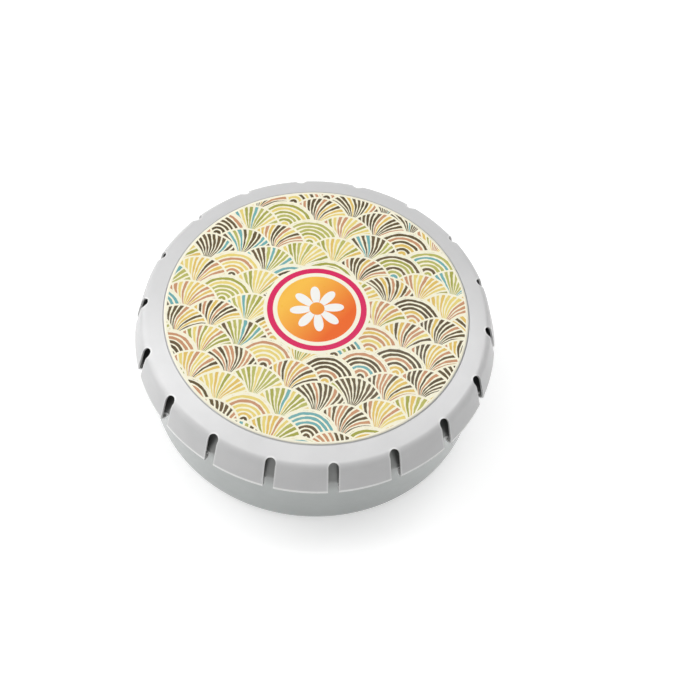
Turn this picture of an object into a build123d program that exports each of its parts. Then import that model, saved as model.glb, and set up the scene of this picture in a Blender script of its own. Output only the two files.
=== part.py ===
from build123d import *
from math import acos, asin, atan, cos, degrees, hypot, radians, sin, sqrt, tan
import os

# Round click tin: a drawn base pan, a lid whose slotted skirt grips a bead on the pan, and mints.
# Pressing the domed panel in swings the skirt fingers outward, and the lid then lifts off.
# Millimetres, +Z up, with the origin at the centre of the foot ring on the table.

# Tinplate
SHEET = 0.25
RUNNING_GAP = 0.05
CUT_OVERRUN = 1.0

# Base pan
BODY_R = 23.0
BODY_CORNER_R = 2.0
FOOT_WIDTH = 1.2
FLOOR_RAISE = 0.5
FLOOR_STEP_BEND_R = 0.5
MOUTH_TOP_Z = 16.67
BEAD_DROP = 3.72
BEAD_STAND = 1.05
BEAD_ROUND_R = 0.65
BEAD_FOOT_BEND_R = 0.6
NECK_STEP = 0.9
NECK_BEND_R = 0.5
NECK_SLOPE = 50.0
MOUTH_CURL_R = 0.3
MOUTH_CURL_TURN = 270.0

# Lid
SNAP_HOLD = 0.25
SNAP_GAP = 0.1
RIM_SLOPE = 17.0
LID_FLARE = 13.5
LID_SHOULDER_R = 1.45
HEM_CURL_R = 0.6
HEM_CURL_TURN = 270.0
FINGER_COUNT = 18
SLOT_WIDTH = 1.4
SLOT_LEAN = 42.0

# Domed panel of the lid and the printed label on it
PANEL_MOUTH_GAP = 1.0
PANEL_FLAT_WIDTH = 0.3
DOME_RISE = 0.9
DOME_CROWN_SHARE = 0.7
LABEL_MARGIN = 0.05
LABEL_SHEET = 0.1
GLUE_LINE = 0.01

# Mints
MINT_R = 3.25
MINT_BAND = 2.2
MINT_CROWN = 0.8
MINT_GAP = 0.5
MINT_WALL_GAP = 1.35
MINT_REST_GAP = 0.03
MINT_TILT = 7.0
MINT_NUDGE_SHARE = 0.3

# Places that follow from the sizes above
HALF_SHEET = SHEET / 2
BEAD_Z = MOUTH_TOP_Z - BEAD_DROP
BEAD_OUTER_R = BODY_R + BEAD_STAND
BEAD_CENTRE_R = BEAD_OUTER_R - HALF_SHEET - BEAD_ROUND_R
HEM_CENTRE_R = BEAD_OUTER_R - SNAP_HOLD + HEM_CURL_R
HEM_TO_BEAD = HEM_CURL_R + SNAP_GAP + BEAD_ROUND_R + HALF_SHEET
HEM_CENTRE_Z = BEAD_Z - sqrt(HEM_TO_BEAD**2 - (HEM_CENTRE_R - BEAD_CENTRE_R) ** 2)
LID_R = HEM_CENTRE_R + HEM_CURL_R
PANEL_R = BODY_R - NECK_STEP - SHEET - PANEL_MOUTH_GAP
DOME_R = PANEL_R - PANEL_FLAT_WIDTH
LABEL_R = PANEL_R - LABEL_MARGIN
RIM_SIN, RIM_COS = sin(radians(RIM_SLOPE)), cos(radians(RIM_SLOPE))
FLARE_SIN, FLARE_COS = sin(radians(LID_FLARE)), cos(radians(LID_FLARE))
RIM_INNER_R = PANEL_R + RUNNING_GAP
RIM_TOP_R = RIM_INNER_R + SHEET * RIM_SIN
MOUTH_CURL_OUTER = MOUTH_CURL_R + HALF_SHEET
CURL_CENTRE_R = BODY_R - NECK_STEP - HALF_SHEET + MOUTH_CURL_R
RIM_OVER_CURL = (MOUTH_CURL_OUTER + RUNNING_GAP + (CURL_CENTRE_R - RIM_INNER_R) * RIM_SIN) / RIM_COS
LID_TOP_Z = MOUTH_TOP_Z - MOUTH_CURL_OUTER + RIM_OVER_CURL + SHEET * RIM_COS
RIM_REACH_R = HEM_CENTRE_R - RIM_TOP_R + LID_SHOULDER_R * RIM_SIN
RIM_REACH_Z = HEM_CENTRE_Z - LID_TOP_Z + LID_SHOULDER_R * RIM_COS
RIM_LENGTH = (RIM_REACH_R * FLARE_COS + RIM_REACH_Z * FLARE_SIN + HEM_CURL_R - LID_SHOULDER_R) / cos(
    radians(RIM_SLOPE + LID_FLARE)
)
SHOULDER_CENTRE_R = RIM_TOP_R + RIM_LENGTH * RIM_COS - LID_SHOULDER_R * RIM_SIN
SHOULDER_CENTRE_Z = LID_TOP_Z - RIM_LENGTH * RIM_SIN - LID_SHOULDER_R * RIM_COS
HINGE_Z = SHOULDER_CENTRE_Z + LID_SHOULDER_R * FLARE_SIN
FINGER_PITCH = 360.0 / FINGER_COUNT
MINT_PITCH = 2 * MINT_R + MINT_GAP
MINT_RING_R = BODY_R - SHEET - MINT_WALL_GAP - MINT_R
MINT_CROWN_R = (MINT_R**2 + MINT_CROWN**2) / (2 * MINT_CROWN)
GOLDEN_ANGLE = 180.0 * (3 - sqrt(5))


def sheet_section(start, heading, moves, thickness):
    """Section of a bent sheet whose middle line follows the moves, in radius and height.

    A move is (length,) for a straight stretch, or (radius, turn) for a bend that turns
    left by a positive number of degrees. The heading is in degrees from the radius axis.
    """
    half = thickness / 2
    point = Vector(*start)
    left, right = [], []

    def side(place, angle, offset):
        return place + Vector(-sin(radians(angle)), cos(radians(angle))) * offset

    for move in moves:
        if len(move) == 1:
            step = Vector(cos(radians(heading)), sin(radians(heading))) * move[0]
            for edges, offset in ((left, half), (right, -half)):
                first = side(point, heading, offset)
                edges.append(Edge.make_line(first, first + step))
            point += step
            continue
        radius, turn = move
        to_centre = radius if turn > 0 else -radius
        centre = side(point, heading, to_centre)
        for edges, offset in ((left, half), (right, -half)):
            places = [side(centre, heading + turn * share, offset - to_centre) for share in (0, 0.5, 1)]
            edges.append(Edge.make_three_point_arc(*places))
        heading += turn
        point = side(centre, heading, -to_centre)
    caps = [Edge.make_line(left[0] @ 0, right[0] @ 0), Edge.make_line(left[-1] @ 1, right[-1] @ 1)]
    return Face(Wire(left + right + caps))


def turned(section, angle=360.0):
    """Solid of revolution of a section drawn in radius and height."""
    return revolve(Plane.XZ * section, Axis.Z, angle)


def around(shape, angle):
    """The shape turned about the tin's axis."""
    return Rot(0, 0, angle) * shape


def base_pan():
    """Drawn pan with a raised floor, a snap bead that slopes in to a neck, and a curled mouth."""
    step_turn = degrees(acos(1 - FLOOR_RAISE / (2 * FLOOR_STEP_BEND_R)))
    step_run = 2 * FLOOR_STEP_BEND_R * sin(radians(step_turn))
    neck_mid_r = BODY_R - NECK_STEP - HALF_SHEET
    bead_bends = BEAD_ROUND_R + BEAD_FOOT_BEND_R
    bead_turn = degrees(acos(1 - BEAD_STAND / bead_bends))
    bead_start_z = BEAD_Z - bead_bends * sin(radians(bead_turn))
    slope = radians(NECK_SLOPE)
    slope_bends = BEAD_ROUND_R + NECK_BEND_R
    slope_run = BEAD_CENTRE_R - neck_mid_r - NECK_BEND_R + slope_bends * sin(slope)
    neck_start_z = BEAD_Z + slope_bends * cos(slope) + slope_run * tan(slope)
    neck_end_z = MOUTH_TOP_Z - HALF_SHEET - MOUTH_CURL_R
    moves = [
        (BODY_R - BODY_CORNER_R - FOOT_WIDTH - step_run,),
        (FLOOR_STEP_BEND_R, -step_turn),
        (FLOOR_STEP_BEND_R, step_turn),
        (FOOT_WIDTH,),
        (BODY_CORNER_R - HALF_SHEET, 90),
        (bead_start_z - BODY_CORNER_R,),
        (BEAD_FOOT_BEND_R, -bead_turn),
        (BEAD_ROUND_R, 90 + bead_turn - NECK_SLOPE),
        (slope_run / cos(slope),),
        (NECK_BEND_R, NECK_SLOPE - 90),
        (neck_end_z - neck_start_z,),
        (MOUTH_CURL_R, -MOUTH_CURL_TURN),
    ]
    return turned(sheet_section((0, FLOOR_RAISE + HALF_SHEET), 0, moves, SHEET))


def lid_section():
    """Section of the lid's sloping rim, shoulder, flared skirt and curled hem, outside the panel."""
    skirt_length = (SHOULDER_CENTRE_Z - HEM_CENTRE_Z) * FLARE_COS - (SHOULDER_CENTRE_R - HEM_CENTRE_R) * FLARE_SIN
    start = (RIM_TOP_R - HALF_SHEET * RIM_SIN, LID_TOP_Z - HALF_SHEET * RIM_COS)
    moves = [
        (RIM_LENGTH,),
        (LID_SHOULDER_R - HALF_SHEET, RIM_SLOPE + LID_FLARE - 90),
        (skirt_length,),
        (HEM_CURL_R - HALF_SHEET, -HEM_CURL_TURN),
    ]
    return sheet_section(start, -RIM_SLOPE, moves, SHEET)


def band(low_z, high_z):
    """Rectangle of the section plane between two heights, out past the lid's edge."""
    width = LID_R + CUT_OVERRUN
    return Pos(width / 2, (low_z + high_z) / 2) * Rectangle(width, high_z - low_z)


def slot_cutter(angle):
    """Straight slot through the skirt at an angle, below the line where the fingers bend."""
    inner_r = BODY_R - CUT_OVERRUN
    length = LID_R + CUT_OVERRUN - inner_r
    return around(Pos(inner_r + length / 2, 0, HINGE_Z / 2) * Box(length, SLOT_WIDTH, HINGE_Z), angle)


def slot_top_cutter(angle):
    """Round upper end of a slot, punched square through the bend of the shoulder."""
    depth = SHEET + 2 * CUT_OVERRUN
    round_end = Cylinder(SLOT_WIDTH / 2, depth)
    straight = Pos(SLOT_WIDTH / 2, 0, 0) * Box(SLOT_WIDTH, SLOT_WIDTH, depth)
    punch = Pos(0, 0, LID_SHOULDER_R - HALF_SHEET) * (round_end + straight)
    return around(Pos(SHOULDER_CENTRE_R, 0, SHOULDER_CENTRE_Z) * Rot(0, 90 - SLOT_LEAN, 0) * punch, angle)


def lid_ring():
    """Sloping rim and shoulder of the lid, with the round tops of the slots in its lower edge."""
    ring = turned(lid_section() & band(HINGE_Z, LID_TOP_Z + CUT_OVERRUN))
    for index in range(FINGER_COUNT):
        ring -= slot_top_cutter((index + 0.5) * FINGER_PITCH)
    return ring


def skirt_finger():
    """One finger of the skirt, centred on +X, from the shoulder down to its curled hem."""
    section = lid_section() & band(0, HINGE_Z)
    finger = around(turned(section, FINGER_PITCH), -FINGER_PITCH / 2)
    return finger - slot_cutter(FINGER_PITCH / 2) - slot_cutter(-FINGER_PITCH / 2)


def domed_sheet(lift, thickness, outer_r):
    """Shallow domed disc of sheet, lifted off the panel's middle surface by a distance."""
    turn = 2 * atan(DOME_RISE / DOME_R)
    crown_bend = DOME_CROWN_SHARE * DOME_R / sin(turn) + lift
    edge_bend = (1 - DOME_CROWN_SHARE) * DOME_R / sin(turn) - lift
    crown_z = LID_TOP_Z - HALF_SHEET + DOME_RISE + lift
    moves = [(crown_bend, -degrees(turn)), (edge_bend, degrees(turn))]
    if outer_r > DOME_R:
        moves.append((outer_r - DOME_R,))
    section = sheet_section((0, crown_z), 0, moves, thickness)
    height = crown_z + CUT_OVERRUN
    return turned(section & Pos(outer_r / 2, height / 2) * Rectangle(outer_r, height))


def lid_panel():
    """Domed panel of the lid, which snaps in and out inside the rim."""
    return domed_sheet(0, SHEET, PANEL_R)


def lid_label():
    """Round printed label glued over the dome."""
    return domed_sheet(HALF_SHEET + GLUE_LINE + LABEL_SHEET / 2, LABEL_SHEET, LABEL_R)


def mint_solid():
    """Round tablet with a straight band and two shallow crowns, centred on the origin."""
    half_band = MINT_BAND / 2
    top = half_band + MINT_CROWN
    half_turn = asin(MINT_R / MINT_CROWN_R) / 2
    middle_r = MINT_CROWN_R * sin(half_turn)
    middle_z = top - MINT_CROWN_R * (1 - cos(half_turn))
    edges = [
        Edge.make_line((0, -top), (0, top)),
        Edge.make_three_point_arc((0, top), (middle_r, middle_z), (MINT_R, half_band)),
        Edge.make_line((MINT_R, half_band), (MINT_R, -half_band)),
        Edge.make_three_point_arc((MINT_R, -half_band), (middle_r, -middle_z), (0, -top)),
    ]
    return turned(Face(Wire(edges)))


def lower_ring_radii():
    """Radii of the lower layer's rings of mints, from the wall inward."""
    count = int(MINT_RING_R / MINT_PITCH) + 1
    return [MINT_RING_R - ring * MINT_PITCH for ring in range(count)]


def upper_ring_radii():
    """Radii of the upper layer's rings, from a mint on the axis outward."""
    pitch = MINT_PITCH + MINT_REST_GAP
    count = int((MINT_RING_R - MINT_R) / pitch) + 1
    return [ring * pitch for ring in range(count)]


def ring_places(radii, first):
    """Places of mints lying in rings: x, y, tilt and direction of tilt, each a little uneven."""
    places = []
    for ring, radius in enumerate(radii):
        room = MINT_PITCH < 2 * radius
        count = int(180 / degrees(asin(MINT_PITCH / (2 * radius)))) if room else 1
        for index in range(count):
            number = first + len(places)
            angle = 360 / count * index + ring * GOLDEN_ANGLE
            nudge = MINT_GAP * MINT_NUDGE_SHARE * cos(radians(number * GOLDEN_ANGLE))
            reach = radius + nudge if room else nudge
            tilt = MINT_TILT * abs(sin(radians(number * GOLDEN_ANGLE)))
            x = reach * cos(radians(angle))
            y = reach * sin(radians(angle))
            places.append((x, y, tilt, number * GOLDEN_ANGLE))
    return places


def crown_centre(tilt, direction):
    """Shift from a leaning mint's centre down to the centre of its lower crown's sphere."""
    reach = MINT_CROWN_R - MINT_BAND / 2 - MINT_CROWN
    lean = reach * sin(radians(tilt))
    return lean * cos(radians(direction)), lean * sin(radians(direction)), reach * cos(radians(tilt))


def mint_heap():
    """Lower and upper layers of leaning mints, each let down until it rests on what is below."""
    floor_z = FLOOR_RAISE + SHEET + MINT_REST_GAP
    lower, upper, tops = [], [], []
    for x, y, tilt, direction in ring_places(lower_ring_radii(), 1):
        dx, dy, dz = crown_centre(tilt, direction)
        z = floor_z + MINT_CROWN_R - dz
        tops.append((x - dx, y - dy, z - dz))
        lower.append((x, y, z, tilt, direction))
    for x, y, tilt, direction in ring_places(upper_ring_radii(), 1 + len(lower)):
        dx, dy, dz = crown_centre(tilt, direction)
        reach = 2 * MINT_CROWN_R + MINT_REST_GAP
        heights = [floor_z + MINT_CROWN_R - dz]
        for top_x, top_y, top_z in tops:
            apart = hypot(x + dx - top_x, y + dy - top_y)
            if apart < 2 * MINT_R:
                heights.append(top_z + sqrt(reach**2 - apart**2) - dz)
        upper.append((x, y, max(heights), tilt, direction))
    return lower, upper


def laid_mints(places):
    """Separate mint solids at their places, leaning as they lie."""
    tablet = mint_solid()
    mints = []
    for x, y, z, tilt, direction in places:
        lean = Rot(0, 0, direction) * Rot(0, tilt, 0)
        mints.append(Pos(x, y, z) * lean * tablet)
    return Compound(mints)


def build_nodes():
    """Every piece of the tin by its node's name."""
    lower, upper = mint_heap()
    nodes = {
        "base_pan": base_pan(),
        "mints_lower_layer": laid_mints(lower),
        "mints_upper_layer": laid_mints(upper),
        "lid_ring": lid_ring(),
        "lid_panel": lid_panel(),
        "lid_label": lid_label(),
    }
    finger = skirt_finger()
    for index in range(FINGER_COUNT):
        nodes[f"skirt_finger_{index + 1:02d}"] = around(finger, index * FINGER_PITCH)
    return nodes


os.makedirs("parts", exist_ok=True)
for name, shape in build_nodes().items():
    export_step(shape, f"parts/{name}.step")
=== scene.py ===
from math import acos, atan, ceil, copysign, cos, pi, radians, sin, sqrt, tan, tau

import bmesh
import bpy
from mathutils import Matrix, Vector


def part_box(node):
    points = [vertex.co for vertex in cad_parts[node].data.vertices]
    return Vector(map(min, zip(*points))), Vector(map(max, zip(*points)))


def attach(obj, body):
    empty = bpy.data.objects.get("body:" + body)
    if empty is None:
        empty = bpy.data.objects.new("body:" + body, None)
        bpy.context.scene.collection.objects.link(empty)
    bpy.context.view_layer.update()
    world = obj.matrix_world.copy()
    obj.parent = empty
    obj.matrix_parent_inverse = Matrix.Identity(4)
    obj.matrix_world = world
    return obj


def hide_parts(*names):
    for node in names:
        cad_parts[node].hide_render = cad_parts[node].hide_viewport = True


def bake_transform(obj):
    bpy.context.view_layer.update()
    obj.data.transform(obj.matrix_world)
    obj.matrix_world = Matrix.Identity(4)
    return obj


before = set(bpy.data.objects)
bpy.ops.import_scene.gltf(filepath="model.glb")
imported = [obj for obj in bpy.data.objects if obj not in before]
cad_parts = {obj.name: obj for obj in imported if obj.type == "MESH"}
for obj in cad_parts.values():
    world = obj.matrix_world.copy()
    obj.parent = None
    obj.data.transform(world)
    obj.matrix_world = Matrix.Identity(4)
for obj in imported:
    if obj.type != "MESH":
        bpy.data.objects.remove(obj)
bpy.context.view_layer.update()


# Base pan: one disc of 0.25 mm tinplate, drawn into a round pan. A snap bead is rolled out of
# its wall and slopes in to a narrower neck, whose mouth is curled outward so that no raw edge
# shows. The floor is raised a little, so that the pan stands on a flat ring.
MM = 0.001
SHEET = 0.25 * MM
HALF_SHEET = SHEET / 2
AROUND = 216
BEND_STEP = radians(7.5)
BEND_LENGTH = 0.6 * MM
SHARP_ANGLE = radians(40)
MERGE = 0.001 * MM

BODY_R = 23.0 * MM
BODY_CORNER_R = 2.0 * MM
FOOT_WIDTH = 1.2 * MM
FLOOR_RAISE = 0.5 * MM
FLOOR_STEP_BEND_R = 0.5 * MM
MOUTH_TOP_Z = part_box("base_pan")[1][2]
BEAD_DROP = 3.72 * MM
BEAD_STAND = 1.05 * MM
BEAD_ROUND_R = 0.65 * MM
BEAD_FOOT_BEND_R = 0.6 * MM
NECK_STEP = 0.9 * MM
NECK_BEND_R = 0.5 * MM
NECK_SLOPE = radians(50)
MOUTH_CURL_R = 0.3 * MM
CURL_TURN = radians(270)
BEAD_Z = MOUTH_TOP_Z - BEAD_DROP
BEAD_OUTER_R = BODY_R + BEAD_STAND
BEAD_CENTRE_R = BEAD_OUTER_R - HALF_SHEET - BEAD_ROUND_R
NECK_MID_R = BODY_R - NECK_STEP - HALF_SHEET
NECK_INNER_R = BODY_R - NECK_STEP - SHEET

NOISE_MIDDLE = 0.3, 0.7
CLOUD_SIZE = 4.0 * MM
GRAIN_SIZE = 0.07 * MM
GRAIN_STRETCH = 40, 1, 1
GRAIN_DEPTH = 0.0012 * MM
GRAIN_ROUGHNESS = -0.02, 0.02
PEEL_SIZE = 0.5 * MM
PEEL_DEPTH = 0.004 * MM
SCUFF_SIZE = 1.1 * MM
SCUFF_STRETCH = 1, 1, 0.6
SCUFF_ROUGHNESS = -0.03, 0.04
# Height band of the painted shade under the lid, and the size and waver of its blotchy edge.
UNDER_LID_SHADE_Z = 8.3 * MM, 11.6 * MM
UNDER_LID_SHADE_BLOTCH = 1.5 * MM
UNDER_LID_SHADE_WAVER = 0.15 * MM


def only(kind, parts):
    """Those of the parts that are of one kind."""
    return [part for part in parts if isinstance(part, kind)]


def sheet_outline(bm, start, heading, moves, side):
    """One side of a bent sheet's section, as a chain of vertices in the XZ plane.

    The moves are those of the sheet's middle line: (length,) runs straight and
    (radius, turn) bends to the left by a positive angle. The side is the distance to the left.
    """
    left = Vector((-sin(heading), 0, cos(heading)))
    chain = [bm.verts.new(Vector((start[0], 0, start[1])) + left * side)]
    for move in moves:
        if len(move) == 1:
            grown = bmesh.ops.extrude_vert_indiv(bm, verts=[chain[-1]])["verts"]
            bmesh.ops.translate(bm, verts=grown, vec=Vector((cos(heading), 0, sin(heading))) * move[0])
            chain += grown
            continue
        radius, turn = move
        way = copysign(1, turn)
        left = Vector((-sin(heading), 0, cos(heading)))
        centre = chain[-1].co + left * (radius * way - side)
        steps = max(ceil(abs(turn) / BEND_STEP), ceil(radius * abs(turn) / BEND_LENGTH))
        spun = bmesh.ops.spin(
            bm, geom=[chain[-1]], cent=centre, axis=(0, -way, 0), angle=abs(turn), steps=steps
        )
        chain += only(bmesh.types.BMVert, spun["geom_last"])
        heading += turn
    return chain


def sheet_section(bm, start, heading, moves):
    """Closed section of a bent sheet, left open only where it starts on the tin's axis."""
    left = sheet_outline(bm, start, heading, moves, HALF_SHEET)
    right = sheet_outline(bm, start, heading, moves, -HALF_SHEET)
    if start[0] > MERGE:
        bm.edges.new((left[0], right[0]))
    bm.edges.new((left[-1], right[-1]))


def turn_about_axis(bm, angle=tau, steps=AROUND):
    """Spins the whole bmesh about the tin's axis and closes its seam and its poles."""
    bmesh.ops.spin(
        bm, geom=bm.verts[:] + bm.edges[:], cent=(0, 0, 0), axis=(0, 0, 1),
        angle=angle, steps=steps, use_merge=angle == tau,
    )
    bmesh.ops.remove_doubles(bm, verts=bm.verts, dist=MERGE)


def crisp_edges(bm):
    """Keeps the edges between faces at a steep angle crisp, and shades the others smooth."""
    for edge in bm.edges:
        edge.smooth = not (edge.is_manifold and edge.calc_face_angle() > SHARP_ANGLE)


def finished_piece(bm, name, material):
    """Makes an object of the bmesh, shaded smooth but crisp along its cut edges."""
    bmesh.ops.recalc_face_normals(bm, faces=bm.faces)
    for face in bm.faces:
        face.smooth = True
    crisp_edges(bm)
    mesh = bpy.data.meshes.new(name)
    bm.to_mesh(mesh)
    bm.free()
    mesh.materials.append(material)
    piece = bpy.data.objects.new(name, mesh)
    bpy.context.scene.collection.objects.link(piece)
    return piece


def fill_inputs(tree, node, inputs):
    """Gives each named input of a node its number, or joins it to another node's output."""
    for key, value in inputs.items():
        if isinstance(value, bpy.types.NodeSocket):
            tree.links.new(value, node.inputs[key])
        else:
            node.inputs[key].default_value = value


def add_node(tree, kind, inputs, **settings):
    """Adds a shader node with its settings and inputs."""
    made = tree.nodes.new(kind)
    for key, value in settings.items():
        setattr(made, key, value)
    fill_inputs(tree, made, inputs)
    return made


class Finish:
    """A material under construction: its shader, and the nodes that are joined to it."""

    def __init__(self, name, colour, roughness):
        self.material = bpy.data.materials.new(name)
        self.material.use_nodes = True
        self.tree = self.material.node_tree
        self.join({"Base Color": (*colour, 1), "Roughness": roughness})
        self.place = self.node("ShaderNodeTexCoord").outputs["Object"]

    def join(self, inputs):
        """Gives the shader's own inputs their numbers or the outputs of nodes."""
        fill_inputs(self.tree, self.tree.nodes["Principled BSDF"], inputs)
        return self.material

    def node(self, kind, inputs=None, **settings):
        """Adds a node to this material."""
        return add_node(self.tree, kind, inputs or {}, **settings)

    def math(self, operation, *values):
        """Output of a chain of Math nodes over the values."""
        total = values[0]
        for value in values[1:] or (0.0,):
            total = self.node("ShaderNodeMath", {0: total, 1: value}, operation=operation).outputs[0]
        return total

    def vector(self, operation, *values):
        """Output of a Vector Math node over the values: a number for a length, else a vector."""
        made = self.node("ShaderNodeVectorMath", dict(enumerate(values)), operation=operation)
        return made.outputs["Value" if operation == "LENGTH" else "Vector"]

    def axes(self, vector):
        """The X, Y and Z of a vector."""
        return self.node("ShaderNodeSeparateXYZ", {0: vector}).outputs

    def from_axis(self):
        """Distance from the tin's axis."""
        return self.vector("LENGTH", self.vector("MULTIPLY", self.place, (1, 1, 0)))

    def noise(self, grain, stretch=(1, 1, 1), detail=3.0):
        """Noise whose blotches are about one grain across, in metres, times the stretch."""
        scale = [1 / (grain * s) for s in stretch]
        mapped = self.node("ShaderNodeMapping", {"Vector": self.place, "Scale": scale}).outputs["Vector"]
        made = self.node("ShaderNodeTexNoise", {"Vector": mapped, "Scale": 1.0, "Detail": detail})
        return made.outputs["Fac"]

    def spread(self, value, low, high):
        """The middle of a noise value's range, spread from low to high."""
        made = self.node("ShaderNodeMapRange", {
            "Value": value, "From Min": NOISE_MIDDLE[0], "From Max": NOISE_MIDDLE[1],
            "To Min": low, "To Max": high,
        })
        return made.outputs["Result"]

    def ramp(self, value, start, end):
        """Smooth step that is 0 where the value is at its start and 1 where it is at its end."""
        made = self.node(
            "ShaderNodeMapRange", {"Value": value, "From Min": start, "From Max": end},
            interpolation_type="SMOOTHSTEP",
        )
        return made.outputs["Result"]

    def blend(self, factor, first, second):
        """Colour between two colours, each given as numbers or as an output."""
        ends = [end if isinstance(end, bpy.types.NodeSocket) else (*end, 1) for end in (first, second)]
        made = self.node("ShaderNodeMix", {0: factor, 6: ends[0], 7: ends[1]}, data_type="RGBA")
        return made.outputs[2]

    def bump(self, height, depth, normal=None):
        """Raises the surface by a height value, with a depth in metres."""
        inputs = {"Height": height, "Distance": depth, "Strength": 1.0}
        if normal is not None:
            inputs["Normal"] = normal
        return self.node("ShaderNodeBump", inputs).outputs["Normal"]


def tinplate(
    name, colour, dull_colour, metallic, roughness, coat, coat_roughness,
    painted_light_where, painted_light_colour, painted_light_roughness,
):
    """Satin tinplate under clear lacquer: faint clouding, rolling grain, orange peel, and a place painted
    in another colour as painted light: painted shade on the base and a painted highlight on the lid.
    """
    finish = Finish(name, colour, roughness)
    finish.join({"Metallic": metallic, "Coat Weight": coat, "Coat Roughness": coat_roughness})
    clouds = finish.noise(CLOUD_SIZE, detail=4.0)
    grain = finish.noise(GRAIN_SIZE, GRAIN_STRETCH, detail=2.0)
    peel = finish.noise(PEEL_SIZE, detail=1.0)
    scuffs = finish.noise(SCUFF_SIZE, SCUFF_STRETCH, detail=6.0)
    # Painted light: the mask of painted shade on the base, and of the painted highlight on the lid.
    painted_light = painted_light_where(finish)
    tint = finish.blend(finish.spread(clouds, 0.0, 1.0), colour, dull_colour)
    tint = finish.blend(painted_light, tint, painted_light_colour)
    scuffed = finish.spread(scuffs, *(roughness + change for change in SCUFF_ROUGHNESS))
    gloss = finish.math("ADD", scuffed, finish.spread(grain, *GRAIN_ROUGHNESS))
    gloss = finish.math("ADD", gloss, finish.math("MULTIPLY", painted_light, painted_light_roughness - roughness))
    relief = finish.bump(grain, GRAIN_DEPTH, finish.bump(peel, PEEL_DEPTH))
    return finish.join({"Base Color": tint, "Roughness": gloss, "Normal": relief})


def painted_under_lid_shade(finish):
    """Painted shade on the outside of the neck and bead, dull and dark, where the closed lid covers and
    shades them.
    """
    outside = finish.ramp(finish.from_axis(), NECK_INNER_R, NECK_MID_R)
    waver = finish.spread(finish.noise(UNDER_LID_SHADE_BLOTCH), -UNDER_LID_SHADE_WAVER, UNDER_LID_SHADE_WAVER)
    height = finish.math("ADD", finish.axes(finish.place)["Z"], waver)
    return finish.math("MULTIPLY", outside, finish.ramp(height, *UNDER_LID_SHADE_Z))


# Painted shade: the base is painted darker than the lid's tinplate, and darker still on its neck and bead,
# where the closed lid shades it.
shaded_base_tinplate = tinplate(
    "satin_tinplate_base_painted_shade", colour=(0.395, 0.418, 0.411), dull_colour=(0.37, 0.392, 0.385),
    metallic=0.6, roughness=0.4, coat=0.7, coat_roughness=0.15,
    painted_light_where=painted_under_lid_shade, painted_light_colour=(0.21, 0.215, 0.21), painted_light_roughness=0.45,
)

step_turn = acos(1 - FLOOR_RAISE / (2 * FLOOR_STEP_BEND_R))
step_run = 2 * FLOOR_STEP_BEND_R * sin(step_turn)
bead_bends = BEAD_ROUND_R + BEAD_FOOT_BEND_R
bead_turn = acos(1 - BEAD_STAND / bead_bends)
bead_start_z = BEAD_Z - bead_bends * sin(bead_turn)
slope_bends = BEAD_ROUND_R + NECK_BEND_R
slope_run = BEAD_CENTRE_R - NECK_MID_R - NECK_BEND_R + slope_bends * sin(NECK_SLOPE)
neck_start_z = BEAD_Z + slope_bends * cos(NECK_SLOPE) + slope_run * tan(NECK_SLOPE)
pan_moves = [
    (BODY_R - BODY_CORNER_R - FOOT_WIDTH - step_run,),
    (FLOOR_STEP_BEND_R, -step_turn),
    (FLOOR_STEP_BEND_R, step_turn),
    (FOOT_WIDTH,),
    (BODY_CORNER_R - HALF_SHEET, pi / 2),
    (bead_start_z - BODY_CORNER_R,),
    (BEAD_FOOT_BEND_R, -bead_turn),
    (BEAD_ROUND_R, pi / 2 + bead_turn - NECK_SLOPE),
    (slope_run / cos(NECK_SLOPE),),
    (NECK_BEND_R, NECK_SLOPE - pi / 2),
    (MOUTH_TOP_Z - HALF_SHEET - MOUTH_CURL_R - neck_start_z,),
    (MOUTH_CURL_R, -CURL_TURN),
]
bm = bmesh.new()
sheet_section(bm, (0, FLOOR_RAISE + HALF_SHEET), 0, pan_moves)
turn_about_axis(bm)
pan = finished_piece(bm, "drawn_base_pan", shaded_base_tinplate)
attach(pan, "base")
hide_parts("base_pan")


# Lid ring: the gently sloping rim and the rounded shoulder of the pressed lid. Straight slots with
# round tops are punched up through the shoulder's bend, so that the skirt below can flex.
SNAP_HOLD = 0.25 * MM
SNAP_GAP = 0.1 * MM
RUNNING_GAP = 0.05 * MM
PANEL_MOUTH_GAP = 1.0 * MM
SEAM = 0.003 * MM
LID_FLARE = radians(13.5)
RIM_SLOPE = radians(17)
LID_SHOULDER_R = 1.45 * MM
HEM_CURL_R = 0.6 * MM
SLOT_WIDTH = 1.4 * MM
SLOT_LEAN = radians(42)
FINGER_COUNT = 18
FINGER_PITCH = tau / FINGER_COUNT
SLOT_FACETS = 48
SLOT_FACET = tau / SLOT_FACETS
CUT_SNAP = MERGE / 10

HEM_CENTRE_R = BEAD_OUTER_R - SNAP_HOLD + HEM_CURL_R
HEM_TO_BEAD = HEM_CURL_R + SNAP_GAP + BEAD_ROUND_R + HALF_SHEET
HEM_CENTRE_Z = BEAD_Z - sqrt(HEM_TO_BEAD**2 - (HEM_CENTRE_R - BEAD_CENTRE_R) ** 2)
PANEL_R = NECK_INNER_R - PANEL_MOUTH_GAP
RIM_INNER_R = PANEL_R + RUNNING_GAP
RIM_TOP_R = RIM_INNER_R + SHEET * sin(RIM_SLOPE)
MOUTH_CURL_OUTER = MOUTH_CURL_R + HALF_SHEET
CURL_FROM_RIM = NECK_MID_R + MOUTH_CURL_R - RIM_INNER_R
RIM_OVER_CURL = (MOUTH_CURL_OUTER + RUNNING_GAP + CURL_FROM_RIM * sin(RIM_SLOPE)) / cos(RIM_SLOPE)
LID_TOP_Z = MOUTH_TOP_Z - MOUTH_CURL_OUTER + RIM_OVER_CURL + SHEET * cos(RIM_SLOPE)
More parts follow.
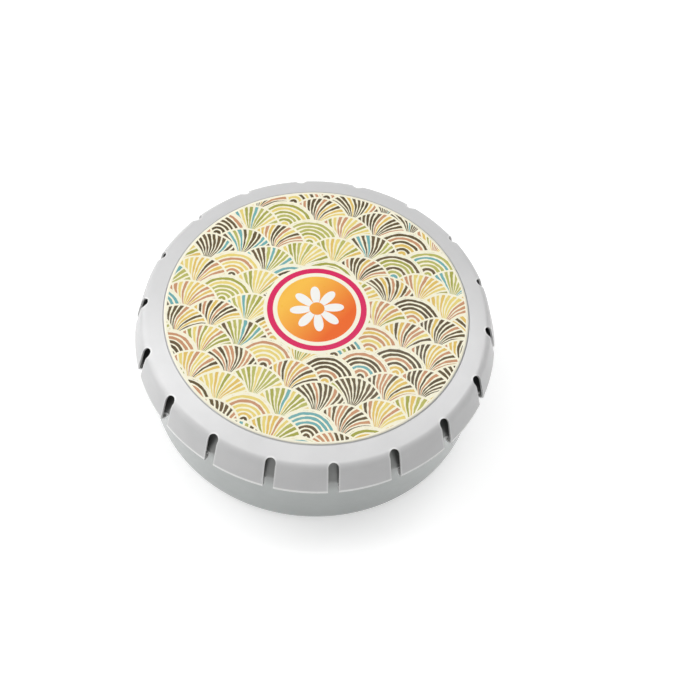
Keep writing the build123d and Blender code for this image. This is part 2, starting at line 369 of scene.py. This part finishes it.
RIM_LENGTH = (
    (HEM_CENTRE_R - RIM_TOP_R + LID_SHOULDER_R * sin(RIM_SLOPE)) * cos(LID_FLARE)
    + (HEM_CENTRE_Z - LID_TOP_Z + LID_SHOULDER_R * cos(RIM_SLOPE)) * sin(LID_FLARE)
    + HEM_CURL_R - LID_SHOULDER_R
) / cos(RIM_SLOPE + LID_FLARE)
SHOULDER_CENTRE_R = RIM_TOP_R + RIM_LENGTH * cos(RIM_SLOPE) - LID_SHOULDER_R * sin(RIM_SLOPE)
SHOULDER_CENTRE_Z = LID_TOP_Z - RIM_LENGTH * sin(RIM_SLOPE) - LID_SHOULDER_R * cos(RIM_SLOPE)
HINGE_Z = SHOULDER_CENTRE_Z + LID_SHOULDER_R * sin(LID_FLARE)

# Reaches of the lighter band around the slots and of the painted highlight along the hem.
SLOT_BAND_REACH = 0.3 * MM, 0.05 * MM
SLOT_BAND_WEIGHT = 0.45
HEM_HIGHLIGHT_REACH = 0.33 * MM, 0.19 * MM


def lid_section(bm):
    """Section of the lid's sloping rim, shoulder, flared skirt and inward hem curl."""
    across = SHOULDER_CENTRE_R - HEM_CENTRE_R, SHOULDER_CENTRE_Z - HEM_CENTRE_Z
    start = RIM_TOP_R - HALF_SHEET * sin(RIM_SLOPE), LID_TOP_Z - HALF_SHEET * cos(RIM_SLOPE)
    moves = [
        (RIM_LENGTH,),
        (LID_SHOULDER_R - HALF_SHEET, RIM_SLOPE + LID_FLARE - pi / 2),
        (across[1] * cos(LID_FLARE) - across[0] * sin(LID_FLARE),),
        (HEM_CURL_R - HALF_SHEET, -CURL_TURN),
    ]
    sheet_section(bm, start, -RIM_SLOPE, moves)


def half_section(bm, way):
    """Section of the lid above (way 1) or below (way -1) the line where its skirt flexes.

    The lower half stops a hair short, so that the two don't cut into each other as they move.
    """
    lid_section(bm)
    cut_z = HINGE_Z if way > 0 else HINGE_Z - SEAM
    cut = bmesh.ops.bisect_plane(
        bm, geom=bm.verts[:] + bm.edges[:], dist=CUT_SNAP,
        plane_co=(0, 0, cut_z), plane_no=(0, 0, -way), clear_outer=True,
    )
    bm.edges.new(only(bmesh.types.BMVert, cut["geom_cut"]))


def hem_highlight_and_slot_band(finish):
    """Painted highlight as a bright line along the curled hem, and a lighter band around the punched
    slots.
    """
    axes = finish.axes(finish.place)
    radius = finish.from_axis()
    angle = finish.math("ARCTAN2", axes["Y"], axes["X"])
    share = finish.math("SUBTRACT", finish.math("FRACT", finish.math("DIVIDE", angle, FINGER_PITCH)), 0.5)
    beside = finish.math("MULTIPLY", share, FINGER_PITCH, radius)
    rise = finish.math("SUBTRACT", axes["Z"], SHOULDER_CENTRE_Z)
    rise = finish.math("MULTIPLY", rise, cos(SLOT_LEAN))
    run = finish.math("SUBTRACT", radius, SHOULDER_CENTRE_R)
    run = finish.math("MULTIPLY", run, sin(SLOT_LEAN))
    above = finish.math("MAXIMUM", finish.math("SUBTRACT", rise, run), 0.0)
    squares = finish.math("POWER", beside, 2.0), finish.math("POWER", above, 2.0)
    from_slot = finish.math("POWER", finish.math("ADD", *squares), 0.5)
    slot_edge = finish.ramp(from_slot, *(SLOT_WIDTH / 2 + reach for reach in SLOT_BAND_REACH))
    hem = finish.ramp(axes["Z"], *(HEM_CENTRE_Z + reach for reach in HEM_HIGHLIGHT_REACH))
    return finish.math("MAXIMUM", hem, finish.math("MULTIPLY", slot_edge, SLOT_BAND_WEIGHT))


def slot_punches(bm):
    """A punch for each slot, square to the shoulder: round at its upper end and drawn out downward."""
    for number in range(FINGER_COUNT):
        corner_r = SLOT_WIDTH / 2 / cos(SLOT_FACET / 2)
        made = bmesh.ops.create_cone(
            bm, cap_ends=True, segments=SLOT_FACETS, radius1=corner_r, radius2=corner_r,
            depth=SLOT_WIDTH, matrix=Matrix.Rotation(SLOT_FACET / 2, 4, "Z"),
        )["verts"]
        lower_half = [vert for vert in made if vert.co.x > 0]
        bmesh.ops.translate(bm, verts=lower_half, vec=(SLOT_WIDTH, 0, 0))
        placed = Matrix.Rotation((number + 0.5) * FINGER_PITCH, 4, "Z")
        placed @= Matrix.Translation((SHOULDER_CENTRE_R, 0, SHOULDER_CENTRE_Z))
        placed @= Matrix.Rotation(pi / 2 - SLOT_LEAN, 4, "Y") @ Matrix.Translation((0, 0, LID_SHOULDER_R))
        bmesh.ops.transform(bm, verts=made, matrix=placed)


def cut_away(piece, tool):
    """Cuts the tool out of the piece. Both are scaled up for the cut, and the piece is scaled back."""
    for part in (piece, tool):
        part.data.transform(Matrix.Scale(1 / MM, 4))
    cut = piece.modifiers.new("cut", "BOOLEAN")
    cut.object = tool
    cut.operation = "DIFFERENCE"
    cut.solver = "EXACT"
    bpy.context.view_layer.update()
    evaluated = piece.evaluated_get(bpy.context.evaluated_depsgraph_get())
    piece.data = bpy.data.meshes.new_from_object(evaluated)
    piece.data.transform(Matrix.Scale(MM, 4))
    piece.modifiers.clear()
    bpy.data.objects.remove(tool)
    bm = bmesh.new()
    bm.from_mesh(piece.data)
    crisp_edges(bm)
    bm.to_mesh(piece.data)
    bm.free()


# The lid's tinplate carries the painted highlight along its hem and the lighter band around its slots.
lid_tinplate = tinplate(
    "satin_tinplate_lid", colour=(0.60, 0.60, 0.602), dull_colour=(0.57, 0.57, 0.573),
    metallic=0.25, roughness=0.46, coat=0.4, coat_roughness=0.22,
    painted_light_where=hem_highlight_and_slot_band, painted_light_colour=(0.86, 0.86, 0.85), painted_light_roughness=0.38,
)
bm = bmesh.new()
half_section(bm, 1)
turn_about_axis(bm)
ring = finished_piece(bm, "lid_rim_and_shoulder", lid_tinplate)
bm = bmesh.new()
slot_punches(bm)
cut_away(ring, finished_piece(bm, "slot_punches", lid_tinplate))
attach(ring, "lid")
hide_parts("lid_ring")


# Skirt fingers: the lid's skirt between the slots. Each is a strip of the same sheet that runs
# down and outward from the shoulder and ends in a hem curled inward, which grips under the bead.
bm = bmesh.new()
half_section(bm, -1)
turn_about_axis(bm, FINGER_PITCH, AROUND // FINGER_COUNT)
bmesh.ops.rotate(bm, verts=bm.verts, cent=(0, 0, 0), matrix=Matrix.Rotation(-FINGER_PITCH / 2, 3, "Z"))
for way in (1, -1):
    angle = way * FINGER_PITCH / 2
    outward = Vector((-sin(angle), cos(angle), 0)) * way
    cut = bmesh.ops.bisect_plane(
        bm, geom=bm.verts[:] + bm.edges[:] + bm.faces[:], dist=CUT_SNAP,
        plane_co=-outward * SLOT_WIDTH / 2, plane_no=outward, clear_outer=True,
    )
    bmesh.ops.contextual_create(bm, geom=only(bmesh.types.BMEdge, cut["geom_cut"]))
first_strip = finished_piece(bm, "skirt_strip", lid_tinplate)
for number in range(FINGER_COUNT):
    node = f"skirt_finger_{number + 1:02d}"
    strip = bpy.data.objects.new(node.replace("finger", "strip"), first_strip.data.copy())
    strip.data.transform(Matrix.Rotation(number * FINGER_PITCH, 4, "Z"))
    bpy.context.scene.collection.objects.link(strip)
    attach(strip, f"finger_{number + 1:02d}")
    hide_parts(node)
bpy.data.objects.remove(first_strip)


# Lid panel: the slightly domed middle of the pressed lid, which snaps inward when it is pushed.
# Its edge closes up to the rim.
PANEL_FLAT_WIDTH = 0.3 * MM
DOME_RISE = 0.9 * MM
DOME_CROWN_SHARE = 0.7
DOME_R = PANEL_R - PANEL_FLAT_WIDTH
PANEL_MID_Z = LID_TOP_Z - HALF_SHEET


def domed_skin(name, lift, outer_r, thickness, material):
    """Shallow domed disc with a live sheet thickness."""
    bm = bmesh.new()
    turn = 2 * atan(DOME_RISE / DOME_R)
    crown_bend = DOME_CROWN_SHARE * DOME_R / sin(turn) + lift
    edge_bend = (1 - DOME_CROWN_SHARE) * DOME_R / sin(turn) - lift
    moves = [(crown_bend, -turn), (edge_bend, turn), (outer_r - DOME_R,)]
    sheet_outline(bm, (0, PANEL_MID_Z + DOME_RISE + lift), 0, moves, 0)
    turn_about_axis(bm)
    skin = finished_piece(bm, name, material)
    sheet = skin.modifiers.new("sheet", "SOLIDIFY")
    sheet.thickness = thickness
    sheet.offset = 0
    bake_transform(skin)
    return skin


panel = domed_skin("domed_lid_panel", 0, RIM_INNER_R - SEAM, SHEET, lid_tinplate)
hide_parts("lid_panel")


# Label: a round of printed and varnished film, stuck over the whole dome. The print is a plain
# shell pattern in cream, brown, teal, olive and yellow, with an amber roundel in the middle.
LABEL_MARGIN = 0.05 * MM
LABEL_SHEET = 0.1 * MM
GLUE_LINE = 0.01 * MM
LABEL_LIFT = HALF_SHEET + GLUE_LINE + LABEL_SHEET / 2
LABEL_R = PANEL_R - LABEL_MARGIN
CREAM = (0.99, 0.95, 0.77)
CREAM_SHADE = (0.96, 0.91, 0.70)
AMBER = (1.0, 0.55, 0.07)
ORANGE = (0.88, 0.14, 0.01)
MAGENTA = (0.72, 0.01, 0.11)
WHITE = (0.97, 0.96, 0.93)
INKS = (
    (0.11, 0.075, 0.025),
    (0.09, 0.06, 0.02),
    (0.60, 0.30, 0.15),
    (0.78, 0.54, 0.12),
    (0.84, 0.68, 0.20),
    (0.38, 0.38, 0.06),
    (0.50, 0.49, 0.12),
    (0.16, 0.43, 0.44),
    (0.13, 0.085, 0.035),
)
INK_REACH = 0.42
PAPER_GRAIN = 0.25 * MM
PRINT_EDGE = 0.35 * MM
PRINT_TURN = radians(22)
WOBBLE = 0.16 * MM
WOBBLE_SIZE = 2.2 * MM
PEN_GRAIN = 0.9 * MM
PEN_UNEVENNESS = 0.07
SHELL_R = 4.3 * MM
SHELL_RIM_SHARE = 0.07
SHELL_LEAN = 1.1
FAN_FOOT_SHARE = 0.2
RIB_ANGLE = radians(9.5)
RIB_SHARE = 0.6
ARC_SHARE = 0.15
ARC_SHELL_SHARE = 0.28
ARC_SHUFFLE = 7.0
ROUNDEL_R = 5.4 * MM
ROUNDEL_BAND = 6.0 * MM, 6.8 * MM
ROUNDEL_GROUND_R = 7.3 * MM
PETAL_COUNT = 8
PETAL_R = 3.7 * MM
PETAL_BLUNTNESS = 0.55
HEART_R = 0.28 * PETAL_R
VARNISH_BLOTCH = 1.5 * MM
VARNISH_ROUGHNESS = 0.27, 0.37
FILM_RIPPLE = 0.6 * MM
FILM_RIPPLE_DEPTH = 0.002 * MM


def vector_of(finish, x, y, z=0.0):
    """Joins three numbers into a vector."""
    return finish.node("ShaderNodeCombineXYZ", {"X": x, "Y": y, "Z": z}).outputs[0]


def chosen(finish, factor, first, second):
    """The second vector where the factor is 1, and the first where it is 0."""
    return finish.node("ShaderNodeMix", {0: factor, 4: first, 5: second}, data_type="VECTOR").outputs[1]


def chance(finish, seed):
    """A number from 0 to 1 that is the same wherever the seed vector is the same."""
    made = finish.node("ShaderNodeTexWhiteNoise", {"Vector": seed}, noise_dimensions="3D")
    return made.outputs["Value"]


def hand_drawn(finish):
    """Places on the label in shell radii, turned, and pushed about a little as by a drawing hand."""
    wobble = finish.node(
        "ShaderNodeTexNoise", {"Vector": finish.place, "Scale": 1 / WOBBLE_SIZE, "Detail": 1.0}
    )
    shift = finish.vector("SUBTRACT", wobble.outputs["Color"], (0.5, 0.5, 0.5))
    shift = finish.vector("MULTIPLY", shift, (2 * WOBBLE,) * 3)
    mapped = finish.node("ShaderNodeMapping", {
        "Vector": finish.vector("ADD", finish.place, shift),
        "Rotation": (0, 0, PRINT_TURN), "Scale": (1 / SHELL_R,) * 3,
    })
    return mapped.outputs["Vector"]


def shell_rows(finish, x, y):
    """Place within the front shell at each point, and that shell's own centre.

    Shells have a radius of 1. Rows lie half a radius apart, each over the row above it.
    """
    first_row = finish.math("FLOOR", finish.math("MULTIPLY", finish.math("SUBTRACT", y, 1.0), 2.0))
    within, centre = None, None
    for step in (3.0, 2.0, 1.0):
        row = finish.math("ADD", first_row, step)
        odd = finish.math("FLOORED_MODULO", row, 2.0)
        column = finish.math("ROUND", finish.math("MULTIPLY", finish.math("SUBTRACT", x, odd), 0.5))
        centre_x = finish.math("ADD", finish.math("MULTIPLY", column, 2.0), odd)
        centre_y = finish.math("MULTIPLY", row, 0.5)
        u = finish.math("SUBTRACT", x, centre_x)
        v = finish.math("SUBTRACT", y, centre_y)
        here, its_centre = vector_of(finish, u, v), vector_of(finish, centre_x, centre_y)
        if within is None:
            within, centre = here, its_centre
            continue
        inside = finish.math("LESS_THAN", finish.vector("LENGTH", here), 1.0)
        within = chosen(finish, inside, within, here)
        centre = chosen(finish, inside, centre, its_centre)
    return within, centre


def ink_of(finish, choice):
    """The ink at a place from 0 to 1 in the row of inks."""
    inks = finish.node("ShaderNodeValToRGB", {"Fac": choice})
    inks.color_ramp.interpolation = "CONSTANT"
    stops = inks.color_ramp.elements
    for number, ink in enumerate(INKS):
        stop = stops[number] if number < 1 else stops.new(number / len(INKS))
        stop.color = (*ink, 1)
    stops.remove(stops[-1])
    return inks.outputs["Color"]


def shell_print(finish):
    """Rows of shells on cream paper, most of them filled with a fan of ribs and some with arcs."""
    drawn = finish.axes(hand_drawn(finish))
    within, centre = shell_rows(finish, drawn["X"], drawn["Y"])
    axes = finish.axes(within)
    reach = finish.vector("LENGTH", within)
    kind = chance(finish, centre)
    lean = finish.math("MULTIPLY", finish.math("SUBTRACT", kind, 0.5), SHELL_LEAN)
    fan = finish.math("ARCTAN2", axes["X"], finish.math("ADD", axes["Y"], FAN_FOOT_SHARE))
    fan = finish.math("ADD", fan, finish.math("MULTIPLY", reach, lean))
    ribs = finish.math("DIVIDE", fan, RIB_ANGLE)
    arcs = finish.math("DIVIDE", reach, ARC_SHARE)
    shuffled = finish.math("FRACT", finish.math("MULTIPLY", kind, ARC_SHUFFLE))
    is_arcs = finish.math("GREATER_THAN", shuffled, 1 - ARC_SHELL_SHARE)
    lines = finish.node("ShaderNodeMix", {0: is_arcs, 2: ribs, 3: arcs}, data_type="FLOAT").outputs[0]
    across = finish.math("ABSOLUTE", finish.math("SUBTRACT", finish.math("FRACT", lines), 0.5))
    pen = finish.noise(PEN_GRAIN, detail=2.0)
    pen = finish.spread(pen, RIB_SHARE / 2 - PEN_UNEVENNESS, RIB_SHARE / 2 + PEN_UNEVENNESS)
    on_line = finish.math("LESS_THAN", across, pen)
    on_shell = finish.math("LESS_THAN", reach, 1 - SHELL_RIM_SHARE)
    line_number = vector_of(finish, 0.0, 0.0, finish.math("FLOOR", lines))
    pick = chance(finish, finish.vector("ADD", centre, line_number))
    choice = finish.math("FRACT", finish.math("ADD", kind, finish.math("MULTIPLY", pick, INK_REACH)))
    paper = finish.blend(finish.spread(finish.noise(PAPER_GRAIN), 0.0, 1.0), CREAM, CREAM_SHADE)
    return finish.blend(finish.math("MULTIPLY", on_line, on_shell), paper, ink_of(finish, choice))


def roundel_print(finish, shells):
    """Amber roundel with a plain flower in it and a ring round it, and the label's bare cream edge."""
    axes = finish.axes(finish.place)
    radius = finish.from_axis()
    around = finish.math("ARCTAN2", axes["Y"], axes["X"])
    wave = finish.math("ABSOLUTE", finish.math("COSINE", finish.math("MULTIPLY", around, PETAL_COUNT / 2)))
    petal = finish.math("MULTIPLY", finish.math("POWER", wave, PETAL_BLUNTNESS), PETAL_R)
    on_petal = finish.math("LESS_THAN", radius, petal)
    off_heart = finish.math("GREATER_THAN", radius, HEART_R)
    slope = finish.node("ShaderNodeMapRange", {
        "Value": finish.math("SUBTRACT", axes["X"], axes["Y"]),
        "From Min": -ROUNDEL_R, "From Max": ROUNDEL_R,
    })
    amber = finish.blend(slope.outputs["Result"], AMBER, ORANGE)
    amber = finish.blend(finish.math("MULTIPLY", on_petal, off_heart), amber, WHITE)
    colour = shells
    rounds = (
        (ROUNDEL_GROUND_R, CREAM),
        (ROUNDEL_BAND[1], MAGENTA),
        (ROUNDEL_BAND[0], CREAM),
        (ROUNDEL_R, amber),
    )
    for outer_r, ink in rounds:
        colour = finish.blend(finish.math("LESS_THAN", radius, outer_r), colour, ink)
    return finish.blend(finish.math("GREATER_THAN", radius, LABEL_R - PRINT_EDGE), colour, CREAM)


film = Finish("printed_label", CREAM, 0.32)
film.join({"Specular IOR Level": 0.25, "Coat Weight": 0.2, "Coat Roughness": 0.2})
film.join({
    "Base Color": roundel_print(film, shell_print(film)),
    "Roughness": film.spread(film.noise(VARNISH_BLOTCH, detail=5.0), *VARNISH_ROUGHNESS),
    "Normal": film.bump(film.noise(FILM_RIPPLE, detail=2.0), FILM_RIPPLE_DEPTH),
})
label = domed_skin("printed_label_round", LABEL_LIFT, LABEL_R, LABEL_SHEET, film.material)
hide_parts("lid_label")


# Mints: small pressed tablets of sugar, chalky white and faintly translucent, lying loose. Each has
# a straight band between two shallow crowns, edges rubbed round and a fine powdery grain.
CHALK = (0.94, 0.94, 0.955)
CHALK_SHADE = (0.89, 0.89, 0.92)
MOTTLE_SIZE = 1.8 * MM
PIT_SIZE = 0.45 * MM
PIT_DEPTH = 0.02 * MM
PIT_ROUGHNESS = 0.42, 0.6
POWDER_SIZE = 0.12 * MM
POWDER_DEPTH = 0.006 * MM
POWDER_ROUGHNESS = -0.04, 0.04
MINT_GLOW_DEPTH = 0.6 * MM
MINT_EDGE_R = 0.2 * MM

mint = Finish("pressed_mint", (0.92, 0.92, 0.94), 0.5)
mint.join({
    "Subsurface Weight": 0.25, "Subsurface Radius": (1, 1, 1), "Subsurface Scale": MINT_GLOW_DEPTH,
})
powder = mint.noise(POWDER_SIZE, detail=4.0)
pits = mint.noise(PIT_SIZE, detail=2.0)
mottle = mint.noise(MOTTLE_SIZE)
dry = mint.math("ADD", mint.spread(pits, *PIT_ROUGHNESS), mint.spread(powder, *POWDER_ROUGHNESS))
rounded = mint.node("ShaderNodeBevel", {"Radius": MINT_EDGE_R}).outputs["Normal"]
mint.join({
    "Base Color": mint.blend(mint.spread(mottle, 0.0, 1.0), CHALK, CHALK_SHADE),
    "Roughness": dry,
    "Normal": mint.bump(powder, POWDER_DEPTH, mint.bump(pits, PIT_DEPTH, rounded)),
})
for layer in ("mints_lower_layer", "mints_upper_layer"):
    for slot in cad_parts[layer].material_slots:
        slot.material = mint.material


# Studio: a plain white table in a room that is brighter at the left, with soft windows of light
# above, at the upper left and right, and low at the left. The camera stands where the
# photographer's did.
TABLE_R = 3.0
TABLE_FACETS = 64
TABLE_PAINT = (0.76, 0.76, 0.76)
TABLE_FADE = 0.12, 0.45
TABLE_GLOW = 0.48, 1.0
ROOM_LEFT_TO_RIGHT = 0.5, 0.04
WINDOWS = (
    # name, place in metres, width in metres, power in watts
    ("key_window", (-0.55, 0.25, 0.75), 0.5, 1.95),
    ("top_window", (0.0, 0.05, 0.9), 0.7, 2.25),
    ("right_window", (0.46, 0.28, 0.73), 0.5, 2.05),
    ("low_left_window", (-0.85, -0.1, 0.22), 0.5, 0.4),
    ("low_back_window", (-0.8, 0.4, 0.25), 0.7, 2.2),
)
CAMERA_REACH = 247.42 * MM
CAMERA_ELEVATION = radians(56.796)
CAMERA_AZIMUTH = radians(-97.968)
CAMERA_AIM_HEIGHT = 7.96 * MM
CAMERA_AIM_RIGHT = 4.982 * MM
CAMERA_AIM_BACK = 0.404 * MM
CAMERA_ROLL = radians(4.862)
CAMERA_NEAR = 0.01
SENSOR_WIDTH_MM = 36.0
PHOTO_WIDTH_PX = 700
FOCAL_LENGTH_PX = 1752.05


def seen_rays(tree):
    """1 for rays from the camera and from a gloss or a glass, and 0 for those that gather soft light."""
    rays = add_node(tree, "ShaderNodeLightPath", {}).outputs
    seen = rays["Is Camera Ray"]
    for ray in ("Is Glossy Ray", "Is Transmission Ray"):
        seen = add_node(tree, "ShaderNodeMath", {0: seen, 1: rays[ray]}, operation="MAXIMUM").outputs[0]
    return seen


table_finish = Finish("white_table", TABLE_PAINT, 0.6)
far = table_finish.ramp(table_finish.vector("LENGTH", table_finish.place), *TABLE_FADE)
glow = table_finish.node("ShaderNodeMapRange", {
    "Value": far, "To Min": TABLE_GLOW[0], "To Max": TABLE_GLOW[1],
})
table_finish.join({
    "Base Color": table_finish.blend(far, TABLE_PAINT, (0.0, 0.0, 0.0)),
    "Emission Color": (1, 1, 1, 1),
    "Emission Strength": table_finish.math(
        "MULTIPLY", seen_rays(table_finish.tree), glow.outputs["Result"]
    ),
})
bm = bmesh.new()
bmesh.ops.create_circle(bm, cap_ends=True, segments=TABLE_FACETS, radius=TABLE_R)
table = finished_piece(bm, "studio_table", table_finish.material)

world = bpy.data.worlds.new("pale_room")
bpy.context.scene.world = world
world.use_nodes = True
room = world.node_tree
direction = add_node(room, "ShaderNodeTexCoord", {}).outputs["Generated"]
side = add_node(room, "ShaderNodeMapRange", {
    "Value": add_node(room, "ShaderNodeSeparateXYZ", {0: direction}).outputs["X"],
    "From Min": -1.0, "To Min": ROOM_LEFT_TO_RIGHT[0], "To Max": ROOM_LEFT_TO_RIGHT[1],
})
level = add_node(room, "ShaderNodeMapRange", {
    "Value": seen_rays(room), "To Min": side.outputs["Result"], "To Max": 1.0,
})
fill_inputs(room, room.nodes["Background"], {"Color": (1, 1, 1, 1), "Strength": level.outputs["Result"]})

for name, place, width, power in WINDOWS:
    lamp = bpy.data.lights.new(name, "AREA")
    lamp.size = width
    lamp.energy = power
    window = bpy.data.objects.new(name, lamp)
    window.location = place
    window.rotation_euler = (-Vector(place)).to_track_quat("-Z", "Y").to_euler()
    bpy.context.scene.collection.objects.link(window)

round_tin = Matrix.Rotation(CAMERA_AZIMUTH + pi / 2, 4, "Z")
away = CAMERA_REACH * cos(CAMERA_ELEVATION)
above = CAMERA_REACH * sin(CAMERA_ELEVATION)
stand = Vector((0, -away, above + CAMERA_AIM_HEIGHT))
aim = Vector((CAMERA_AIM_RIGHT, CAMERA_AIM_BACK, CAMERA_AIM_HEIGHT))
looking = (aim - stand).to_track_quat("-Z", "Y").to_matrix().to_4x4()
camera = bpy.data.objects.new("camera", bpy.data.cameras.new("camera"))
camera.matrix_world = (
    round_tin @ Matrix.Translation(stand) @ looking @ Matrix.Rotation(CAMERA_ROLL, 4, "Z")
)
camera.data.sensor_width = SENSOR_WIDTH_MM
camera.data.lens = FOCAL_LENGTH_PX / PHOTO_WIDTH_PX * SENSOR_WIDTH_MM
camera.data.clip_start = CAMERA_NEAR
bpy.context.scene.collection.objects.link(camera)
bpy.context.scene.camera = camera
bpy.context.scene.view_settings.view_transform = "Standard"
